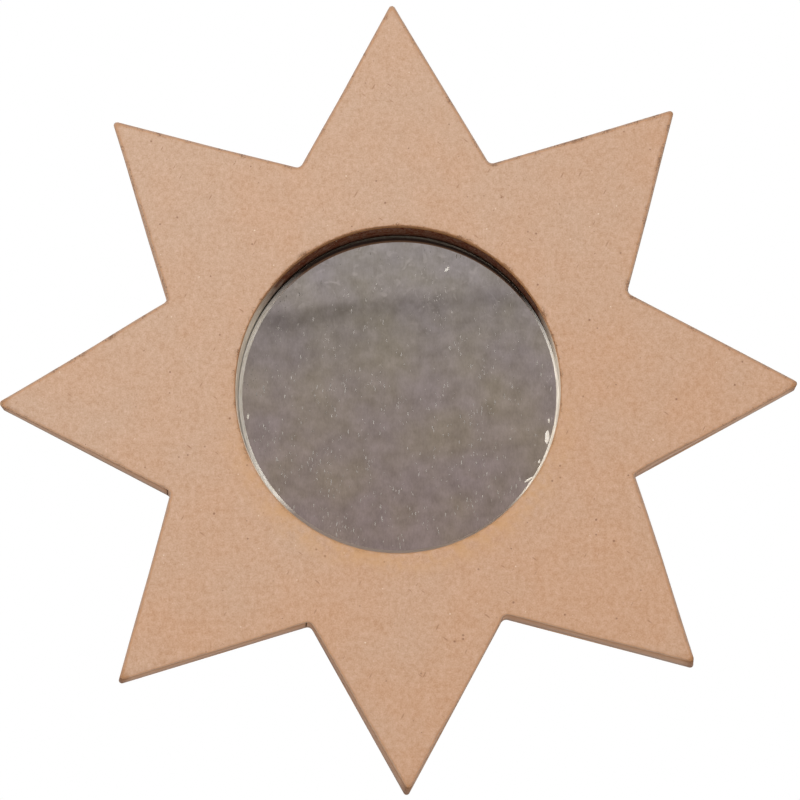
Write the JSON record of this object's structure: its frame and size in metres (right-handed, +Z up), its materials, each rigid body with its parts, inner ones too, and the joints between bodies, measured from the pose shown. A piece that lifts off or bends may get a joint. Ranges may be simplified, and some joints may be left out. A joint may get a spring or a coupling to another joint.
{
  "type": "sun mirror",
  "caption": "Hollow kraft card wall mirror shaped as a flat sun with pointed rays: a round mirror lies in a deep ring at its middle, and a folding wire hanger in a cut-out of the back.",
  "frame": {"origin": "middle of the star on its back face, where it lies against the wall", "axes": "+Z up, +Y into the wall, the face and the mirror look towards -Y, +X to the viewer's right"},
  "size_m": [0.2478, 0.015, 0.2478],
  "materials": {
    "kraft_cover": "matt unbleached kraft paper with fine fibre specks",
    "kraft_liner": "matt unbleached kraft liner",
    "kraft_strip": "matt kraft card, slightly darker at the folds",
    "kraft_ring": "matt kraft card",
    "grey_board": "raw grey board",
    "mirror": "float glass silvered on the back, ground edge, a little dusty",
    "foam_tape": "white foam tape",
    "plated_steel": "nickel plated steel",
    "rivet_brass": "plain brass"
  },
  "bodies": {
    "star": {"front_paper": "kraft_cover", "front_board": "grey_board", "back_board": "grey_board", "back_paper": "kraft_liner", "ray_strip_1": "kraft_strip", "ray_strip_2": "kraft_strip", "ray_strip_3": "kraft_strip", "ray_strip_4": "kraft_strip", "ray_strip_5": "kraft_strip", "ray_strip_6": "kraft_strip", "ray_strip_7": "kraft_strip", "ray_strip_8": "kraft_strip", "well_ring": "kraft_ring", "mirror_glass": "mirror", "mirror_tape_1": "foam_tape", "mirror_tape_2": "foam_tape", "mirror_tape_3": "foam_tape", "mirror_tape_4": "foam_tape", "hanger_card": "grey_board", "hanger_strap": "plated_steel", "hanger_rivet": "rivet_brass", "rivet_washer": "plated_steel"},
    "triangle": {"hanger_triangle": "plated_steel"}
  },
  "joints": [
    {"name": "triangle_swing", "type": "hinge", "parent": "star", "child": "triangle", "pos_m": [0, -0.00155, 0.076], "axis": [1, 0, 0], "range_deg": [0, 180]}
  ]
}
